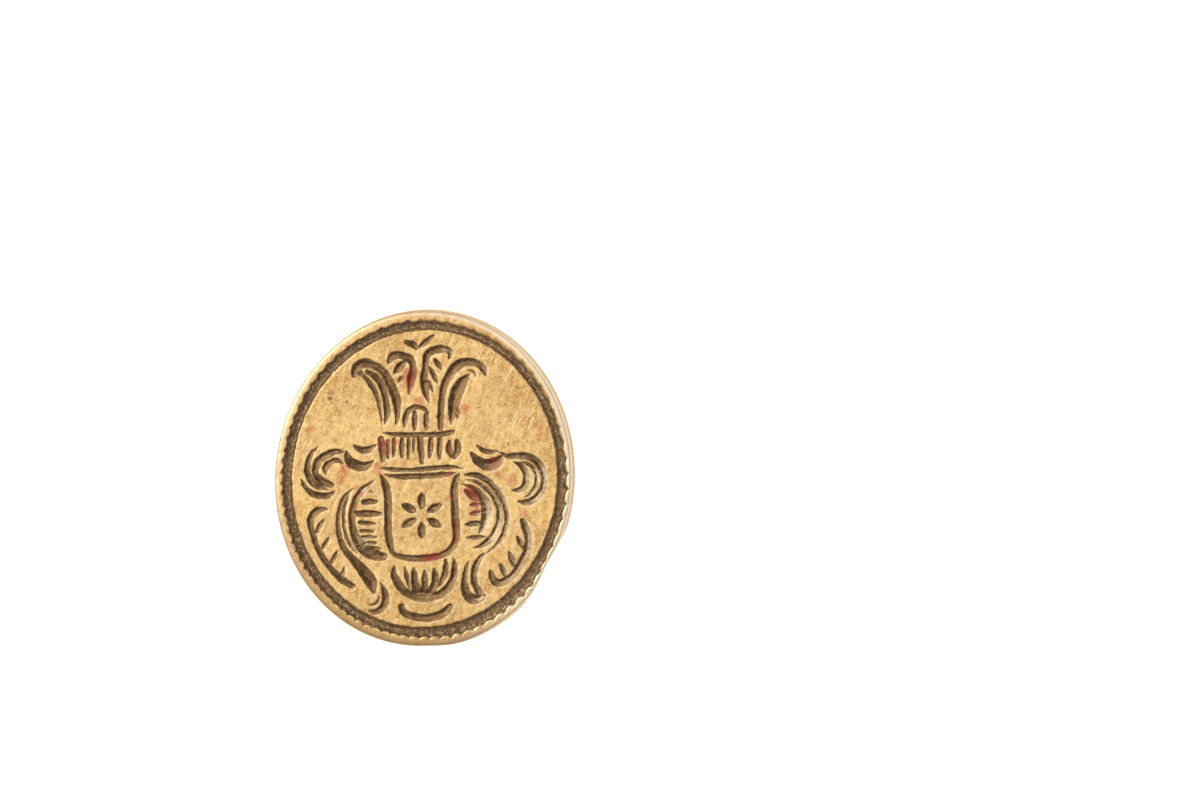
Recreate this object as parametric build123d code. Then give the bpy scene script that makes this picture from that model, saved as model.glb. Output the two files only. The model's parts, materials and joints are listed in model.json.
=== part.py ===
from build123d import *
import math
import os

os.makedirs("parts", exist_ok=True)

# Driving dimensions, in millimetres. The stamp stands on its pommel with the engraved face up.
# The long axis of the oval face lies along Y, and the top of the device points along +Y.

# Engraved plate
FACE_LENGTH = 25.0
FACE_WIDTH = 22.1
PLATE_EDGE = 2.0
PLATE_FLARE = 0.2
PLATE_BACK_RISE = 1.5
PLATE_BACK_INSET = 3.2
FACE_EDGE_ROUND = 0.3
WORN_FLAT_DEPTH = 0.17
WORN_FLAT_ANGLE = 334.7

# Engraving: the device is cut a few degrees askew to the oval
DEVICE_TURN = 5.2
CUT_DEPTH = 0.5
FINE_CUT_DEPTH = 0.3
GROOVE_RIM_SIDE = 0.48
GROOVE_RIM_END = 0.72
GROOVE_WIDTH = 0.72
GROOVE_OFFSET = 0.1
NICK_COUNT = 78
NICK_SPREAD = 0.25
NICK_SPREAD_ANGLE = 45.0
NICK_DEPTH = 0.14
NICK_FOOT_GAIN = 0.03
NICK_UNEVEN = 0.05
NICK_BEAT = 7.0

# Size of the face that the strokes of the device are drawn on, and the shares of a bar's width at its ends
DRAWN_LENGTH = 25.0
DRAWN_WIDTH = 22.1
BAR_START = 0.9
BAR_END = 0.6

# Socket behind the plate
SOCKET_HEIGHT = 6.2
SOCKET_FOOT_RADIUS = 4.9
SOCKET_FOOT_BAND = 1.3
SOCKET_NECK_RADIUS = 4.2
SOCKET_FLANGE_RADIUS = 7.0
SOCKET_FLANGE = 1.0
SOCKET_FLARE_SLOPE = 0.4
SOCKET_SPIGOT_RADIUS = 3.6
SOCKET_SPIGOT = 1.3

# Screw thread that joins head and handle
THREAD_RADIUS = 2.5
THREAD_PITCH = 1.0
THREAD_DEPTH = 0.5
THREAD_ROOT = 0.68
THREAD_CREST = 0.2
THREAD_ENGAGED = 5.0
THREAD_RUN_OUT = 0.6
THREAD_SUNK = 0.1
TIP_CHAMFER = 0.3

# Leather washer and neck collar
WASHER_THICKNESS = 0.8
WASHER_RADIUS = 4.9
COLLAR_HEIGHT = 8.0
COLLAR_TOP_RADIUS = 4.9
COLLAR_NECK_RADIUS = 3.9
COLLAR_NECK_RISE = 4.4
COLLAR_BAND = 1.4
COLLAR_QUIRK = 0.5
BAND_ROUND = 0.25

# Tang that is driven into the wood
TANG_SQUARE = 3.4
TANG_POINT = 1.6
TANG_LENGTH = 24.0

# Ferrule and its pins
FERRULE_HEIGHT = 11.0
FERRULE_FOOT_RADIUS = 6.5
FERRULE_TOP_RADIUS = 5.9
FERRULE_WALL = 0.9
PIN_RADIUS = 0.6
PIN_LENGTH = 3.2
PIN_PROUD = 0.2
PIN_RISE = 3.5

# Turned wooden grip
GRIP_LENGTH = 34.0
GRIP_FOOT_RADIUS = 7.9
GRIP_FOOT_LEAN = 0.35
GRIP_BULB_RADIUS = 9.6
GRIP_BULB_RISE = 13.0
GRIP_WAIST_RADIUS = 6.1
GRIP_WAIST_RISE = 31.0
GRIP_TOP_LEAN = 0.25

# Index dot let into the grip
INDEX_RADIUS = 1.2
INDEX_LENGTH = 2.4
INDEX_PROUD = 0.2

# Pommel and its screw
CAP_HEIGHT = 5.0
CAP_RADIUS = 8.7
CAP_FOOT_RADIUS = 7.7
CAP_FLOOR = 2.0
CAP_SPIGOT_RADIUS = 6.4
SCREW_HEAD_RADIUS = 2.8
SCREW_SHANK_RADIUS = 1.3
SCREW_CONE = 1.5
SCREW_LENGTH = 13.0
SCREW_POINT = 2.5
SCREW_SUNK = 0.2
SLOT_WIDTH = 0.7
SLOT_DEPTH = 0.7

# Clearances
FIT = 0.05
RUNNING = 0.1
THREAD_FLANK = 0.1
THREAD_RADIAL = 0.12

# Heights of the stacked pieces above the foot
Z_GRIP = CAP_HEIGHT
Z_FERRULE = Z_GRIP + GRIP_LENGTH
Z_COLLAR = Z_FERRULE + FERRULE_HEIGHT
Z_WASHER = Z_COLLAR + COLLAR_HEIGHT
Z_SOCKET = Z_WASHER + WASHER_THICKNESS
Z_PLATE = Z_SOCKET + SOCKET_HEIGHT
Z_EDGE = Z_PLATE + PLATE_BACK_RISE
Z_FACE = Z_EDGE + PLATE_EDGE
Z_WOOD_TOP = Z_COLLAR - FERRULE_WALL
Z_THREAD = Z_WASHER + THREAD_ROOT
Z_STUD_TIP = Z_SOCKET + THREAD_ENGAGED


def turned(*lines):
    """A solid of revolution about Z from the lines of its half profile, drawn as (radius, height)."""
    edges = [edge for line in lines for edge in line.edges()]
    return revolve(Plane.XZ * make_face(edges), Axis.Z)


def softened(solid, *rims):
    """Round the sharp circular edges that lie at the given (radius, height) places."""
    edges = []
    for edge in solid.edges().filter_by(GeomType.CIRCLE):
        for radius, height in rims:
            if abs(edge.radius - radius) < FIT and abs(edge.arc_center.Z - height) < FIT:
                edges.append(edge)
    return fillet(edges, BAND_ROUND)


def post(radius, low, high):
    """A round bar on the Z axis between two heights."""
    return Pos(0, 0, low) * extrude(Circle(radius), high - low)


# The graver's strokes

def drawn(x, y):
    """A point of the device's drawing, on the face at its real size."""
    return Vector(x * FACE_WIDTH / DRAWN_WIDTH, y * FACE_LENGTH / DRAWN_LENGTH)


def gouge(*stations):
    """One stroke through (x, y, width) stations, pointed at an end where its width is 0."""
    middle = [drawn(x, y) for x, y, width in stations]
    last = len(stations) - 1
    left = []
    right = []
    for place, (x, y, width) in enumerate(stations):
        ahead = (middle[min(place + 1, last)] - middle[max(place - 1, 0)]).normalized()
        half = width * FACE_WIDTH / DRAWN_WIDTH / 2
        side = Vector(-ahead.Y, ahead.X) * half
        left.append(middle[place] + side)
        right.append(middle[place] - side)
        if place == 0:
            tail = middle[0] - ahead * half
        if place == last:
            tip = middle[last] + ahead * half
    edges = [Spline(left), Spline(right[::-1])]
    if stations[0][2] > 0:
        edges.append(ThreePointArc(right[0], tail, left[0]))
    if stations[-1][2] > 0:
        edges.append(ThreePointArc(left[-1], tip, right[-1]))
    return make_face(edges)


def leaf(x0, y0, x1, y1, width):
    """A short lens-shaped cut from one point to another."""
    start = drawn(x0, y0)
    end = drawn(x1, y1)
    along = (end - start).normalized()
    side = Vector(-along.Y, along.X) * width * FACE_WIDTH / DRAWN_WIDTH / 2
    middle = (start + end) / 2
    return make_face([ThreePointArc(start, middle + side, end), ThreePointArc(end, middle - side, start)])


def bar(x0, y0, x1, y1, width):
    """A straight stroke with blunt ends, a little narrower where the graver leaves."""
    middle = ((x0 + x1) / 2, (y0 + y1) / 2, width)
    return gouge((x0, y0, width * BAR_START), middle, (x1, y1, width * BAR_END))


def plumes():
    """The two tall plumes of the crest, each with its inner strokes."""
    return [
        gouge((-5.15, 7.65, 0.35), (-5.0, 8.2, 0.7), (-4.5, 8.55, 0.75), (-3.7, 8.45, 0.6),
              (-2.9, 7.85, 0.62), (-2.42, 7.0, 0.67), (-2.06, 6.1, 0.72), (-1.92, 5.2, 0.54),
              (-2.02, 4.1, 0.2)),
        leaf(-5.0, 8.2, -4.35, 7.5, 0.42),
        gouge((-4.15, 7.93, 0.34), (-3.54, 7.54, 0.46), (-3.02, 6.7, 0.51), (-2.78, 5.8, 0.52),
              (-2.69, 4.9, 0.5), (-2.9, 4.0, 0)),
        gouge((-4.4, 7.6, 0.32), (-3.9, 7.02, 0.42), (-3.47, 6.2, 0.36), (-3.22, 5.2, 0.25),
              (-3.1, 3.75, 0)),
        gouge((4.65, 7.7, 0.2), (4.45, 8.2, 0.5), (3.9, 8.6, 0.55), (3.1, 8.65, 0.65), (2.4, 8.3, 0.75),
              (1.9, 7.6, 0.65), (1.5, 6.7, 0.55), (1.35, 5.7, 0.5), (1.3, 4.7, 0.5), (1.3, 3.78, 0.45)),
        gouge((3.35, 8.05, 0.15), (3.7, 7.95, 0.2), (3.9, 7.5, 0)),
        gouge((3.5, 7.8, 0), (2.85, 7.1, 0.8), (2.45, 6.3, 0.95), (2.25, 5.4, 0.8), (2.15, 4.7, 0.55),
              (2.05, 3.95, 0)),
        leaf(2.55, 5.4, 2.55, 4.4, 0.3),
    ]


def fronds():
    """The two leafy sprays between the plumes, and the sprig over them."""
    return [
        gouge((-2.55, 8.75, 0.4), (-2.22, 9.12, 0.6), (-1.6, 9.15, 0.55), (-1.0, 8.9, 0.6),
              (-0.75, 8.3, 0.5), (-0.85, 7.6, 0.7), (-0.95, 7.0, 0.5), (-1.1, 6.15, 0)),
        leaf(-1.3, 8.8, -2.22, 7.74, 0.62),
        leaf(-1.45, 7.65, -1.9, 7.1, 0.32),
        gouge((1.9, 8.95, 0.2), (2.0, 9.4, 0.45), (1.45, 9.65, 0.6), (0.8, 9.55, 0.6), (0.3, 9.2, 0.6),
              (0.18, 8.5, 0.5), (0.07, 7.7, 0.55), (0.1, 6.9, 0.65), (0.25, 6.2, 0.45), (0.48, 5.6, 0)),
        leaf(0.78, 9.0, 1.4, 8.05, 0.42),
        leaf(0.42, 8.4, 1.1, 7.0, 0.4),
        leaf(0.35, 7.4, 0.77, 6.4, 0.3),
        gouge((-1.47, 10.28, 0), (-0.95, 10.05, 0.5), (-0.6, 9.85, 0.5), (-0.5, 9.5, 0)),
        leaf(-0.48, 9.62, 0.9, 10.76, 0.45),
    ]


def coronet():
    """The arch, line and upright cuts of the coronet that carries the crest."""
    uprights = [(-3.15, 2.95, -3.0, 1.3, 0.5), (-2.62, 2.8, -2.62, 1.55, 0.3),
                (-2.18, 2.9, -2.2, 1.65, 0.32), (-1.58, 2.9, -1.6, 1.6, 0.38),
                (-1.08, 2.95, -1.1, 1.45, 0.3), (-0.7, 2.9, -0.72, 2.05, 0.24),
                (-0.25, 2.95, -0.1, 1.15, 0.5), (0.55, 2.9, 0.5, 1.6, 0.4), (1.22, 2.9, 1.2, 1.5, 0.42)]
    return [
        gouge((-1.4, 3.7, 0), (-1.35, 4.4, 0.4), (-1.12, 4.98, 0.45), (-0.7, 5.28, 0.42), (-0.2, 5.28, 0.35),
              (0.2, 5.1, 0.25), (0.47, 4.77, 0)),
        bar(-0.63, 4.85, -0.63, 3.68, 0.42),
        bar(0.22, 4.7, 0.22, 3.7, 0.42),
        gouge((-3.1, 3.42, 0), (-2.3, 3.3, 0.3), (-1.0, 3.25, 0.35), (0.3, 3.27, 0.38), (1.4, 3.3, 0.4),
              (2.0, 3.42, 0.35), (2.4, 3.6, 0)),
        gouge((1.95, 2.75, 0.3), (1.92, 2.2, 0.5), (2.1, 1.65, 0.3)),
        gouge((2.5, 2.8, 0.35), (2.58, 2.2, 0.55), (2.35, 1.6, 0.3)),
    ] + [bar(*upright) for upright in uprights]


def shield():
    """The frame of the shield: two strokes over its top, and one round its sides and foot."""
    return [
        gouge((-3.35, 0.75, 0), (-2.2, 0.67, 0.3), (-1.0, 0.64, 0.3), (0.2, 0.72, 0.34), (1.2, 0.82, 0.36),
              (2.2, 0.84, 0.32), (3.0, 0.72, 0)),
        gouge((-2.95, 0.32, 0), (-2.2, 0.18, 0.36), (-1.0, 0.14, 0.44), (0.2, 0.19, 0.44), (1.2, 0.27, 0.42),
              (2.0, 0.36, 0.3), (2.5, 0.44, 0)),
        gouge((-3.3, 0.4, 0), (-2.95, -0.15, 0.42), (-2.68, -1.0, 0.58), (-2.62, -2.5, 0.56),
              (-2.6, -4.0, 0.58), (-2.45, -5.0, 0.48), (-2.2, -5.55, 0.36), (-1.5, -5.85, 0.42),
              (-0.4, -5.95, 0.48), (0.7, -5.85, 0.5), (1.5, -5.65, 0.5), (2.1, -5.2, 0.52),
              (2.4, -4.6, 0.5), (2.45, -4.0, 0.58), (2.4, -3.0, 0.62), (2.35, -2.0, 0.58),
              (2.3, -1.0, 0.54), (2.4, -0.2, 0.48), (2.75, 0.45, 0)),
    ]


def rosette(x=-0.12, y=-2.75, petals=6, eye=0.42, reach=1.75, width=0.62):
    """The generic flower that fills the shield."""
    cuts = []
    for petal in range(petals):
        angle = 2 * math.pi * (petal + 0.5) / petals
        across = math.cos(angle)
        up = math.sin(angle)
        cuts.append(leaf(x + eye * across, y + eye * up, x + reach * across, y + reach * up, width))
    return cuts


def left_mantling():
    """The crescents, scroll and acanthus leaf on the left of the shield."""
    hatches = [(-4.45, -1.75, -3.5, -1.7, 0.44), (-4.9, -2.6, -3.2, -2.62, 0.52),
               (-4.72, -3.28, -3.65, -3.38, 0.36), (-4.6, -3.9, -3.75, -3.93, 0.3),
               (-4.5, -4.35, -3.5, -4.37, 0.26), (-4.25, -4.76, -3.5, -4.8, 0.26),
               (-3.95, -5.14, -3.2, -5.22, 0.26)]
    return [
        gouge((-5.25, 2.55, 0), (-4.85, 2.25, 0.42), (-4.35, 2.1, 0.55), (-3.9, 2.25, 0.38), (-3.5, 2.6, 0)),
        gouge((-5.7, 2.0, 0.2), (-5.5, 1.35, 0.7), (-4.9, 0.95, 0.8), (-4.3, 0.95, 0.65), (-3.65, 1.4, 0)),
        gouge((-7.75, 2.42, 0), (-8.35, 1.8, 0.32), (-8.62, 1.0, 0.45), (-8.55, 0.2, 0.5),
              (-8.15, -0.42, 0.45), (-7.6, -0.72, 0.3), (-7.0, -0.86, 0)),
        gouge((-6.0, 1.95, 0.2), (-6.5, 2.0, 0.45), (-7.2, 1.75, 0.55), (-7.85, 1.2, 0.6), (-8.0, 0.4, 0.5),
              (-7.6, -0.15, 0.6), (-6.75, -0.5, 0.3)),
        gouge((-9.12, 0.1, 0), (-8.8, -0.6, 0.32), (-8.3, -1.1, 0.46), (-7.6, -1.3, 0.5),
              (-6.95, -1.2, 0.42), (-6.55, -0.85, 0)),
        gouge((-6.0, 1.1, 0.15), (-6.5, 1.35, 0.42), (-7.0, 1.15, 0.42), (-7.3, 0.75, 0.42),
              (-7.25, 0.35, 0.15)),
        gouge((-5.15, -0.7, 0), (-5.8, -1.3, 0.3), (-6.2, -2.2, 0.34), (-6.36, -3.2, 0.34),
              (-6.26, -4.2, 0.38), (-5.9, -5.2, 0.46), (-5.2, -6.05, 0.6), (-4.5, -6.85, 0.85),
              (-3.95, -7.6, 0.9), (-3.68, -8.4, 0.4)),
        gouge((-5.5, -1.15, 0), (-5.82, -2.0, 0.2), (-5.94, -3.0, 0.24), (-5.8, -4.0, 0.26),
              (-5.4, -4.95, 0.24), (-4.9, -5.6, 0)),
        gouge((-3.65, -0.15, 0), (-4.3, -0.65, 0.42), (-4.93, -1.4, 0.5), (-5.27, -2.4, 0.52),
              (-5.27, -3.4, 0.54), (-5.0, -4.4, 0.7), (-4.45, -5.2, 0.9), (-3.65, -5.68, 0.82),
              (-2.95, -5.8, 0.55)),
        gouge((-3.15, -7.85, 0.15), (-2.85, -8.5, 0.48), (-2.8, -9.1, 0.56), (-3.1, -9.7, 0.5),
              (-3.6, -9.92, 0.4), (-4.05, -9.85, 0.15)),
        gouge((-3.32, -8.75, 0.12), (-3.32, -9.0, 0.22), (-3.52, -9.3, 0.26), (-4.0, -9.38, 0.12)),
        leaf(-4.15, -1.0, -3.65, -1.0, 0.14),
    ] + [bar(*hatch) for hatch in hatches]


def right_mantling():
    """The crescents, scroll and acanthus leaf on the right of the shield."""
    return [
        gouge((3.95, 2.6, 0), (4.4, 2.1, 0.34), (5.0, 1.95, 0.38), (5.6, 2.15, 0)),
        gouge((3.45, 2.05, 0), (3.92, 1.46, 0.58), (4.6, 1.04, 0.84), (5.3, 1.12, 0.94),
              (5.75, 1.46, 0.55), (5.95, 1.85, 0)),
        gouge((5.42, 2.07, 0), (5.82, 1.88, 0.14), (6.15, 1.7, 0.28), (6.6, 1.68, 0.45),
              (7.3, 1.7, 0.55), (8.1, 1.5, 0.55), (8.75, 0.92, 0.55), (9.0, 0.1, 0.5),
              (8.88, -0.7, 0.5), (8.42, -1.4, 0.5), (7.7, -1.78, 0.45), (7.05, -1.68, 0.15)),
        gouge((7.2, 1.25, 0), (7.8, 1.08, 0.26), (8.27, 0.7, 0.3), (8.46, 0.1, 0.3), (8.38, -0.5, 0.3),
              (8.05, -1.08, 0.26), (7.5, -1.4, 0)),
        gouge((6.7, 1.3, 0), (7.2, 1.0, 0.36), (7.6, 0.5, 0.46), (7.7, -0.1, 0.5), (7.45, -0.65, 0.46),
              (7.0, -0.88, 0.34), (6.5, -0.8, 0)),
        gouge((3.15, 0.28, 0.15), (3.7, 0.28, 0.4), (4.4, 0.08, 0.46), (5.1, -0.45, 0.42),
              (5.7, -1.2, 0.4), (6.1, -2.1, 0.36), (6.22, -3.0, 0.34), (6.05, -3.9, 0.34),
              (5.65, -4.7, 0.28), (5.1, -5.26, 0.14), (4.45, -5.68, 0)),
        gouge((3.1, -0.08, 0), (3.8, -0.22, 0.26), (4.6, -0.68, 0.32), (5.2, -1.3, 0.38), (5.62, -2.2, 0.44),
              (5.65, -3.2, 0.48), (5.3, -4.1, 0.52), (4.6, -4.85, 0.42), (3.6, -5.15, 0)),
        gouge((2.85, -0.42, 0), (3.62, -0.66, 0.34), (4.22, -1.16, 0.56), (4.66, -1.92, 0.78),
              (4.73, -2.8, 0.8), (4.5, -3.55, 0.6), (4.1, -4.1, 0)),
        gouge((4.5, -5.6, 0.15), (4.08, -6.1, 0.38), (3.81, -6.8, 0.5), (3.77, -7.5, 0.5),
              (3.95, -8.1, 0.52), (4.35, -8.6, 0.35)),
        gouge((3.42, -6.05, 0), (3.17, -6.8, 0.34), (3.06, -7.6, 0.5), (3.13, -8.3, 0.66),
              (3.55, -8.92, 0.76), (4.1, -8.98, 0.64), (4.55, -8.75, 0.25)),
        leaf(3.0, -0.75, 4.05, -1.7, 0.5),
        leaf(3.4, -1.95, 4.4, -1.95, 0.34),
        leaf(3.4, -2.62, 4.5, -2.55, 0.4),
        leaf(3.05, -3.42, 4.5, -3.3, 0.46),
        leaf(3.1, -4.4, 4.75, -4.35, 0.38),
    ]


def outer_fronds():
    """The barbed fronds that curve along both sides of the border."""
    return [
        gouge((-7.1, -2.3, 0), (-7.6, -2.3, 0.42), (-8.15, -2.6, 0.55), (-8.4, -3.3, 0.48),
              (-8.2, -4.2, 0.44), (-7.85, -5.2, 0.44), (-7.3, -6.15, 0.48), (-6.65, -6.95, 0.48),
              (-5.95, -7.6, 0.52), (-5.25, -8.0, 0.4)),
        leaf(-7.38, -2.95, -8.05, -4.15, 0.36),
        leaf(-7.0, -4.3, -7.6, -5.45, 0.36),
        leaf(-6.4, -5.3, -6.95, -6.6, 0.36),
        leaf(-5.85, -6.5, -6.1, -7.4, 0.3),
        gouge((7.37, -3.16, 0.36), (7.69, -3.9, 0.6), (7.83, -4.8, 0.56), (7.65, -5.6, 0.56),
              (7.25, -6.4, 0.56), (6.75, -7.1, 0.54), (6.1, -7.63, 0.56), (5.5, -7.74, 0.6),
              (5.12, -7.32, 0.52), (5.02, -6.72, 0)),
        leaf(6.9, -4.2, 7.6, -5.4, 0.42),
        leaf(6.3, -5.3, 6.95, -6.8, 0.45),
        leaf(5.65, -6.25, 6.25, -7.45, 0.42),
    ]


def shell():
    """The fluted shell under the shield, and the crescent below it."""
    return [
        gouge((-2.1, -6.5, 0.1), (-2.2, -7.0, 0.45), (-1.95, -7.7, 0.6), (-1.4, -8.4, 0.6),
              (-0.5, -8.82, 0.6), (0.4, -8.9, 0.58), (1.35, -8.55, 0.6), (2.05, -7.85, 0.56),
              (2.32, -7.0, 0.5), (2.32, -6.3, 0.35), (2.2, -5.85, 0)),
        gouge((-1.4, -6.6, 0.12), (-1.27, -7.1, 0.34), (-1.12, -7.7, 0.28), (-0.95, -8.4, 0)),
        gouge((-0.74, -6.62, 0.12), (-0.69, -7.1, 0.46), (-0.63, -7.7, 0.54), (-0.5, -8.2, 0.76),
              (-0.4, -8.6, 0.8)),
        gouge((0.1, -6.85, 0.12), (0.12, -7.3, 0.46), (0.12, -7.8, 0.5), (0.12, -8.2, 0.56),
              (0.14, -8.6, 0.6)),
        gouge((0.78, -6.68, 0.12), (0.9, -7.2, 0.52), (0.87, -7.8, 0.56), (0.68, -8.3, 0.62),
              (0.5, -8.6, 0.6)),
        gouge((1.68, -6.1, 0.26), (1.67, -6.7, 0.46), (1.5, -7.4, 0.46), (1.14, -8.1, 0)),
        gouge((-1.62, -9.55, 0.48), (-1.48, -9.92, 0.56), (-1.0, -10.2, 0.56), (-0.1, -10.38, 0.6),
              (0.8, -10.3, 0.62), (1.5, -10.0, 0.62), (1.98, -9.54, 0.5)),
    ]


def nick_angle(nick):
    """Where a nick of the border lies: they stand wider apart at the upper right."""
    even = 2 * math.pi * nick / NICK_COUNT
    return even + NICK_SPREAD * math.sin(even - math.radians(NICK_SPREAD_ANGLE))


def border():
    """The groove round the face: smooth inside, and nicked along its outer wall, most at the foot."""
    half_width = FACE_WIDTH / 2 - GROOVE_RIM_SIDE
    half_length = FACE_LENGTH / 2 - GROOVE_RIM_END
    nicks = []
    for nick in range(NICK_COUNT):
        angle = nick_angle(nick)
        reach = NICK_DEPTH - NICK_FOOT_GAIN * math.sin(angle) + NICK_UNEVEN * math.sin(NICK_BEAT * nick)
        nicks.append(Vector((half_width + reach) * math.cos(angle), (half_length + reach) * math.sin(angle)))
    teeth = []
    for nick in range(NICK_COUNT):
        angle = nick_angle(nick + 0.5)
        crown = Vector(half_width * math.cos(angle), half_length * math.sin(angle))
        teeth.append(ThreePointArc(nicks[nick], crown, nicks[(nick + 1) % NICK_COUNT]))
    outside = make_face(teeth)
    inside = Ellipse(half_width - GROOVE_WIDTH, half_length - GROOVE_WIDTH)
    return Pos(GROOVE_OFFSET, 0) * (outside - inside)


def pocket(sketch, depth):
    """The metal that the graver takes out of the face, to a depth."""
    return Pos(0, 0, Z_FACE - depth) * extrude(sketch, 2 * depth)


def seal_plate():
    """The oval brass plate, with the device and the border cut into its face."""
    outline = Ellipse(FACE_WIDTH / 2, FACE_LENGTH / 2)
    foot = Ellipse(FACE_WIDTH / 2 + PLATE_FLARE, FACE_LENGTH / 2 + PLATE_FLARE)
    waist = Ellipse(FACE_WIDTH / 2 - PLATE_BACK_INSET, FACE_LENGTH / 2 - PLATE_BACK_INSET)
    body = loft([Pos(0, 0, Z_EDGE) * foot, Pos(0, 0, Z_FACE) * outline], ruled=True)
    body = fillet(body.faces().sort_by(Axis.Z)[-1].edges(), FACE_EDGE_ROUND)
    back = loft([Pos(0, 0, Z_PLATE) * waist, Pos(0, 0, Z_EDGE) * foot], ruled=True)
    angle = math.radians(WORN_FLAT_ANGLE)
    reach = math.hypot(FACE_WIDTH / 2 * math.cos(angle), FACE_LENGTH / 2 * math.sin(angle))
    worn = Rot(0, 0, WORN_FLAT_ANGLE) * Pos(reach - WORN_FLAT_DEPTH, 0, Z_FACE) * Box(
        FACE_WIDTH, FACE_LENGTH, 2 * Z_FACE, align=(Align.MIN, Align.CENTER, Align.CENTER))
    recess = post(SOCKET_SPIGOT_RADIUS + FIT, Z_PLATE, Z_PLATE + SOCKET_SPIGOT + FIT)
    blank = body + back - worn - recess

    strokes = plumes() + fronds() + coronet() + shield() + left_mantling() + right_mantling()
    strokes += outer_fronds() + shell()
    device = Rot(0, 0, DEVICE_TURN) * (Sketch() + strokes)
    flower = Rot(0, 0, DEVICE_TURN) * (Sketch() + rosette())
    return blank.cut(pocket(device + border(), CUT_DEPTH), pocket(flower, FINE_CUT_DEPTH))


# The screw joint between head and handle

def ridge(wall, crest, wall_width, crest_width, low, high):
    """A right-hand helical ridge from a round wall to its crest, with its flanks carried into the wall."""
    share = THREAD_SUNK / THREAD_DEPTH
    root = wall + (wall - crest) * share
    root_half = (wall_width + (wall_width - crest_width) * share) / 2
    crest_half = crest_width / 2
    section = Plane.XZ * Polygon(
        (root, -root_half), (crest, -crest_half), (crest, crest_half), (root, root_half), align=None)
    return Pos(0, 0, low) * sweep(section, path=Helix(THREAD_PITCH, high - low, wall), is_frenet=True)


def plate_socket():
    """The turned boss on the plate's back, with the female thread between the turns of the stud's."""
    foot_top = Z_SOCKET + SOCKET_FOOT_BAND
    flange_low = Z_PLATE - SOCKET_FLANGE
    spigot_top = Z_PLATE + SOCKET_SPIGOT
    bore = THREAD_RADIUS + THREAD_RADIAL
    bore_top = Z_STUD_TIP + THREAD_RUN_OUT
    foot = Polyline((bore, bore_top), (bore, Z_SOCKET), (SOCKET_FOOT_RADIUS, Z_SOCKET),
                    (SOCKET_FOOT_RADIUS, foot_top), (SOCKET_NECK_RADIUS, foot_top))
    flare = Spline((SOCKET_NECK_RADIUS, foot_top), (SOCKET_FLANGE_RADIUS, flange_low),
                   tangents=[(0, 1), (1, SOCKET_FLARE_SLOPE)])
    flange = Polyline((SOCKET_FLANGE_RADIUS, flange_low), (SOCKET_FLANGE_RADIUS, Z_PLATE),
                      (SOCKET_SPIGOT_RADIUS, Z_PLATE), (SOCKET_SPIGOT_RADIUS, spigot_top), (0, spigot_top),
                      (0, bore_top), (bore, bore_top))
    boss = softened(turned(foot, flare, flange), (SOCKET_FOOT_RADIUS, Z_SOCKET),
                    (SOCKET_FOOT_RADIUS, foot_top), (SOCKET_FLANGE_RADIUS, flange_low))
    wall_width = THREAD_PITCH - THREAD_CREST - 2 * THREAD_FLANK
    crest_width = THREAD_PITCH - THREAD_ROOT - 2 * THREAD_FLANK
    turns_up = math.ceil((Z_SOCKET + wall_width / 2 - Z_THREAD) / THREAD_PITCH - 0.5)
    low = Z_THREAD + (turns_up + 0.5) * THREAD_PITCH
    high = bore_top - wall_width
    return boss + ridge(bore, bore - THREAD_DEPTH, wall_width, crest_width, low, high)


def tang(grow):
    """The square spike that is driven into the wood, enlarged by a clearance."""
    top = Rectangle(TANG_SQUARE + 2 * grow, TANG_SQUARE + 2 * grow)
    point = Rectangle(TANG_POINT + 2 * grow, TANG_POINT + 2 * grow)
    tip = Z_WOOD_TOP - TANG_LENGTH - grow
    return loft([Pos(0, 0, tip) * point, Pos(0, 0, Z_WOOD_TOP) * top], ruled=True)


def tang_stud():
    """The steel stud: thread above, plain shank in the collar, square tang in the wood."""
    core = THREAD_RADIUS - THREAD_DEPTH
    bar_top = post(core, Z_WASHER, Z_STUD_TIP)
    bar_top = chamfer(bar_top.edges().sort_by(Axis.Z)[-1], TIP_CHAMFER)
    screw = ridge(core, THREAD_RADIUS, THREAD_ROOT, THREAD_CREST, Z_THREAD, Z_STUD_TIP - THREAD_ROOT)
    return tang(0) + post(THREAD_RADIUS, Z_WOOD_TOP, Z_WASHER) + bar_top + screw


def friction_washer():
    """The leather ring under the head."""
    return post(WASHER_RADIUS, Z_WASHER, Z_SOCKET) - post(THREAD_RADIUS + RUNNING, Z_WASHER, Z_SOCKET)


def neck_collar():
    """The turned collar: a band, a hollow neck and a smaller band, bored for the stud."""
    bore = THREAD_RADIUS + FIT
    low_band = Z_COLLAR + COLLAR_BAND
    high_band = Z_WASHER - COLLAR_BAND
    low_neck = FERRULE_TOP_RADIUS - COLLAR_QUIRK
    high_neck = COLLAR_TOP_RADIUS - COLLAR_QUIRK
    foot = Polyline((bore, Z_COLLAR), (FERRULE_TOP_RADIUS, Z_COLLAR), (FERRULE_TOP_RADIUS, low_band),
                    (low_neck, low_band))
    hollow = Spline((low_neck, low_band), (COLLAR_NECK_RADIUS, Z_COLLAR + COLLAR_NECK_RISE),
                    (high_neck, high_band))
    top = Polyline((high_neck, high_band), (COLLAR_TOP_RADIUS, high_band), (COLLAR_TOP_RADIUS, Z_WASHER),
                   (bore, Z_WASHER), (bore, Z_COLLAR))
    return softened(turned(foot, hollow, top), (FERRULE_TOP_RADIUS, low_band),
                    (COLLAR_TOP_RADIUS, high_band), (COLLAR_TOP_RADIUS, Z_WASHER))


# The handle

def radial(radius, inner, outer, height):
    """A round bar that points out along +X between two radii."""
    return Pos(inner, 0, height) * Rot(0, 90, 0) * extrude(Circle(radius), outer - inner)


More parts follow.
